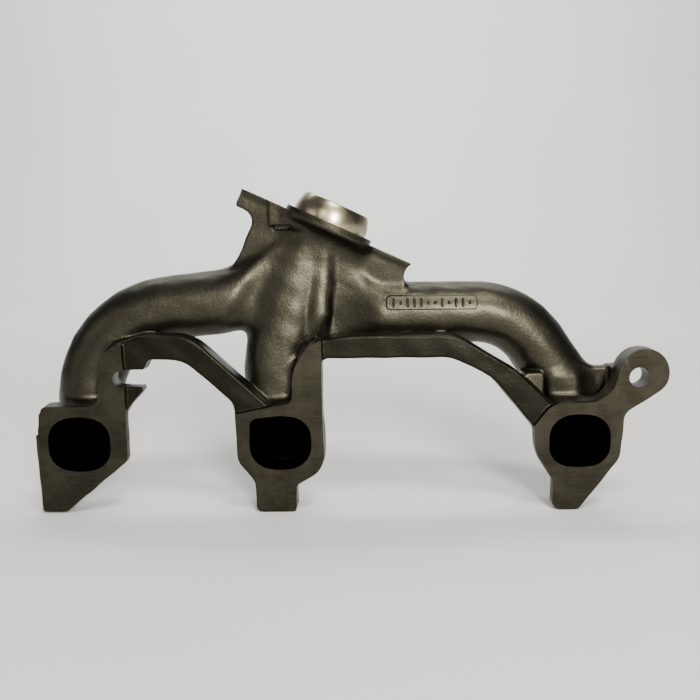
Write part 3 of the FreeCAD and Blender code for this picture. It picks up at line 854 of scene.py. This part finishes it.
def cast_iron():
    """Blasted and oiled cast iron, machined on the head face."""
    n = Nodes("cast_iron")
    spread = n.add("ShaderNodeSeparateXYZ", {0: n.place})
    y = spread.outputs[1]
    blotch = n.noise(38, 4, 0.6)
    sand = n.noise(1150, 2, 0.55)
    lumps = n.noise(330, 3, 0.5)
    pits = n.add("ShaderNodeTexVoronoi", {"Vector": n.place, "Scale": 420.0}).outputs["Distance"]
    pits = n.ramp(pits, 0.10, 0.28)
    rough_colour = n.mix(n.ramp(blotch, 0.36, 0.66), SKIN_DARK, SKIN_LIGHT)
    rough_colour = n.mix(n.ramp(sand, 0.45, 0.75, 0, 0.45), rough_colour, GRAIN)

    # Faces just behind the head face, the tie bars' fronts among them, are coloured darker
    near_front = n.math("LESS_THAN", y, DARK_STRIP_Y)
    rough_colour = n.mix(near_front, rough_colour, DARK_FRONT_STRIP)
    machined_side = n.math("LESS_THAN", y, MILLED_Y)
    marks = n.noise(1.0, 3, 0.6, n.mapped((0, radians(-27), 0), (70, 1, 1500)))
    cloud = n.noise(60, 3, 0.6)
    cut_colour = n.mix(n.ramp(cloud, 0.35, 0.7), MILLED_DARK, MILLED_LIGHT)
    cut_colour = n.mix(n.ramp(marks, 0.45, 0.75, 0, 0.5), cut_colour, CUTTER_MARK)

    cast_bump = n.bump(lumps, 0.30, 0.0005)
    cast_bump = n.bump(sand, 0.60, 0.00018, cast_bump)
    cast_bump = n.bump(pits, 0.20, 0.00015, cast_bump)
    cut_bump = n.bump(marks, 0.35, 0.00006)
    normal = n.add("ShaderNodeMix", data_type="VECTOR")
    for index, value in ((0, machined_side), (4, cast_bump), (5, cut_bump)):
        n.put(normal.inputs[index], value)
    cast_rough = n.ramp(blotch, 0.3, 0.7, 0.43, 0.37)
    cut_rough = n.ramp(marks, 0.3, 0.7, 0.36, 0.50)
    rough = n.add("ShaderNodeMix", data_type="FLOAT")
    for index, value in ((0, machined_side), (2, cast_rough), (3, cut_rough)):
        n.put(rough.inputs[index], value)
    # Soot with painted shade: the passages' lining is coloured near black
    soot_and_shade = n.add("ShaderNodeAttribute", attribute_name="soot_and_shade").outputs["Fac"]
    colour = n.mix(soot_and_shade, n.mix(machined_side, rough_colour, cut_colour), SOOT_AND_SHADE)
    return n.finish(Base_Color=colour, Metallic=1.0, Roughness=rough.outputs[0], Normal=normal.outputs[1])


def turned_steel():
    """Ball seat left bright from the lathe."""
    n = Nodes("turned_seat")
    keys = {"Vector": n.place, "Location": [c * MM for c in OUTLET_CENTRE], "Rotation": (0, OUTLET_TILT, 0)}
    local = n.add("ShaderNodeMapping", keys, vector_type="TEXTURE").outputs[0]
    along = n.add("ShaderNodeSeparateXYZ", {0: local}).outputs[2]
    lines = n.add("ShaderNodeCombineXYZ", {2: n.math("MULTIPLY", along, 2600.0)}).outputs[0]
    grooves = n.noise(1.0, 2, 0.6, lines)
    cloud = n.noise(90, 4, 0.65)
    stain = n.ramp(cloud, 0.45, 0.75)
    colour = n.mix(stain, STEEL, STAINED)
    colour = n.mix(n.ramp(grooves, 0.3, 0.75, 0, 0.35), colour, CREST)
    bump = n.bump(grooves, 0.25, 0.00006)
    bump = n.bump(n.noise(900, 2, 0.5), 0.12, 0.0001, bump)
    rough = n.ramp(cloud, 0.3, 0.7, 0.23, 0.34)
    return n.finish(Base_Color=colour, Metallic=1.0, Roughness=rough, Normal=bump)


def studio_floor():
    """Matt grey, very slightly uneven."""
    n = Nodes("studio_floor")
    shade = n.noise(3.0, 2, 0.5)
    colour = n.mix(shade, (0.60, 0.60, 0.597, 1), (0.65, 0.65, 0.647, 1))
    return n.finish(Base_Color=colour, Roughness=0.9)


# ---------------------------------------------------------------- separate pieces

def lathe(name, profile, sides=192):
    """Ring turned about the outlet axis from a closed (radius, along) profile."""
    points, faces = [], []
    count = len(profile)
    for i in range(sides):
        turn = 2 * pi * i / sides
        for radius, along in profile:
            points.append(on_outlet(radius * cos(turn), along, PLANE_Y + radius * sin(turn)))
        for j in range(count):
            a, b = i * count, (i + 1) % sides * count
            k = (j + 1) % count
            faces.append((a + j, b + j, b + k, a + k))
    shape = new_object(name, points, np.array(faces))
    shape.data.polygons.foreach_set("use_smooth", np.ones(len(faces), bool))
    shape.data.set_sharp_from_angle(angle=radians(25))
    return shape


def seat_ring():
    """Turned ball seat: a zone of a ball with a bore and small chamfers."""
    chamfer = 0.45
    low = 0.02
    rises = [low + (SEAT_H - chamfer - low) * i / 28 for i in range(29)]
    profile = [(sqrt(BALL_R ** 2 - v * v), v) for v in rises]
    top = profile[-1][0] - chamfer
    profile += [(top, SEAT_H), (OUTLET_BORE_R + 0.8, SEAT_H), (OUTLET_BORE_R, SEAT_H - 0.8),
                (OUTLET_BORE_R, low)]
    return lathe("outlet_seat", profile)


PAD_X, PAD_Z, PAD_STEP = (59.5, 111.0), (72.6, 80.6), 0.3
# Generic raised marks in place of a casting number: l is a long bar, s a short one
MARKS, MARK_HALF_W, LONG_HALF, SHORT_HALF = "lslllsslslls", 0.42, 2.3, 0.9


def pad_distance(x, y, z):
    """Raised pad along runner 3's top with generic marks on it."""
    away = np.hypot(y - PLANE_Y, z - RUNNER_3_Z)
    skin = away - RUNNER_R[2]
    sides = corner_rounded(slab(x, *PAD_X), slab(z, *PAD_Z), 2.5)
    pad = corner_rounded(np.maximum(sides, y - PLANE_Y), slab(skin, -1.2, 0.75), 0.7)
    pitch = (PAD_X[1] - PAD_X[0] - 5) / len(MARKS)
    middle = sum(PAD_Z) / 2
    for i, kind in enumerate(MARKS):
        u, v = x - PAD_X[0] - 2.5 - pitch * (i + 0.5), z - middle
        half_h = LONG_HALF if kind == "l" else SHORT_HALF
        flat = np.maximum(np.abs(u) - MARK_HALF_W, np.abs(v) - half_h)
        raised = corner_rounded(flat, slab(skin, -1, 1.5), 0.35)
        pad = blend_min(pad, raised, 0.3)
    return pad


def casting_pad():
    """Mesh of the pad and its marks."""
    low = (PAD_X[0] - 1, 8, PAD_Z[0] - 1)
    high = (PAD_X[1] + 1, 34, PAD_Z[1] + 10)
    points, faces = surface_net(pad_distance, low, high, PAD_STEP)
    return new_object("casting_mark_pad", settled(pad_distance, points, PAD_STEP), faces)


def stage():
    """Pale floor that sweeps up behind the object."""
    start, radius, turns = 1.2, 0.8, [pi / 2 * i / 16 for i in range(1, 17)]
    profile = [(-3.0, 0.0), (start, 0.0)]
    profile += [(start + radius * sin(t), radius - radius * cos(t)) for t in turns]
    profile.append((2.0, 3.5))
    floor = -40.0
    points = [(x * 1000, y * 1000, floor + z * 1000) for x in (-4, 4) for y, z in profile]
    count = len(profile)
    faces = [(i, i + count, i + count + 1, i + 1) for i in range(count - 1)]
    sweep = new_object("studio_floor", points, np.array(faces))
    sweep.data.polygons.foreach_set("use_smooth", np.ones(len(faces), bool))
    sweep.data.materials.append(studio_floor())


def aim(thing, place, target):
    """Put a light in place, turned to a target."""
    thing.location = place
    thing.rotation_euler = (Vector(target) - Vector(place)).to_track_quat("-Z", "Y").to_euler()
    bpy.context.scene.collection.objects.link(thing)


def light(name, place, target, sides, power, colour=(1, 1, 1)):
    """Area light with its two sides in metres and its power in watts."""
    lamp = bpy.data.lights.new(name, "AREA")
    lamp.shape, lamp.size, lamp.size_y = "RECTANGLE", *sides
    lamp.energy, lamp.color = power, colour
    aim(bpy.data.objects.new(name, lamp), place, target)


def lights():
    """Studio lights: four on the object and one on the backdrop, with a faint grey world."""
    middle = (0.035, 0.03, 0.05)
    light("key", (0.35, -0.65, 1.35), middle, (0.45, 0.35), 17, (1.0, 0.97, 0.90))
    light("front", (0.40, -1.38, 0.50), middle, (0.3, 0.45), 40, WARM)
    light("left", (-0.42, -1.35, 0.80), middle, (0.5, 0.5), 4, WARM)
    light("side", (-1.35, -0.75, 0.55), middle, (0.9, 1.0), 4, WARM)
    light("backdrop", (0.0, 0.9, 1.6), (0, 1.8, 0.4), (2.0, 0.6), 60)
    world = bpy.data.worlds.new("studio")
    world.use_nodes = True
    world.node_tree.nodes["Background"].inputs[0].default_value = (1, 1, 1, 1)
    world.node_tree.nodes["Background"].inputs[1].default_value = 0.08
    bpy.context.scene.world = world


def camera():
    """View square to the head face, a little above and in front."""
    pitch, roll = radians(8.8), radians(0.45)
    right = Vector((cos(roll), -sin(roll) * sin(pitch), -sin(roll) * cos(pitch)))
    up = Vector((sin(roll), cos(roll) * sin(pitch), cos(roll) * cos(pitch)))
    back = right.cross(up)
    lens = bpy.data.cameras.new("camera")
    lens.lens, lens.sensor_width = 41.14, 36.0
    lens.clip_start, lens.clip_end = 0.01, 20
    viewer = bpy.data.objects.new("camera", lens)
    place = Matrix((right, up, back)).transposed().to_4x4()
    place.translation = (0.03919, -0.43261, 0.11921)
    viewer.matrix_world = place
    bpy.context.scene.collection.objects.link(viewer)
    bpy.context.scene.camera = viewer


STEP = 0.8
pieces = divided(machined(STEP))
print(f"{time() - started:6.1f} s  divided")
iron = cast_iron()
for piece in pieces.values():
    smooth_normals(piece, casting_distance)
    mark_soot_and_shade(piece)
    piece.data.materials.clear()
    piece.data.materials.append(iron)
pad = casting_pad()
smooth_normals(pad, pad_distance)
pad.data.materials.append(iron)
pieces["casting_mark_pad"] = pad
seat = seat_ring()
seat.data.materials.append(turned_steel())
pieces["outlet_seat"] = seat
for node, piece in pieces.items():
    piece.name = node + "_detail"
    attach(piece, "root")
    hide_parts(node)
stage()
lights()
camera()
print(f"{time() - started:6.1f} s  scene made")
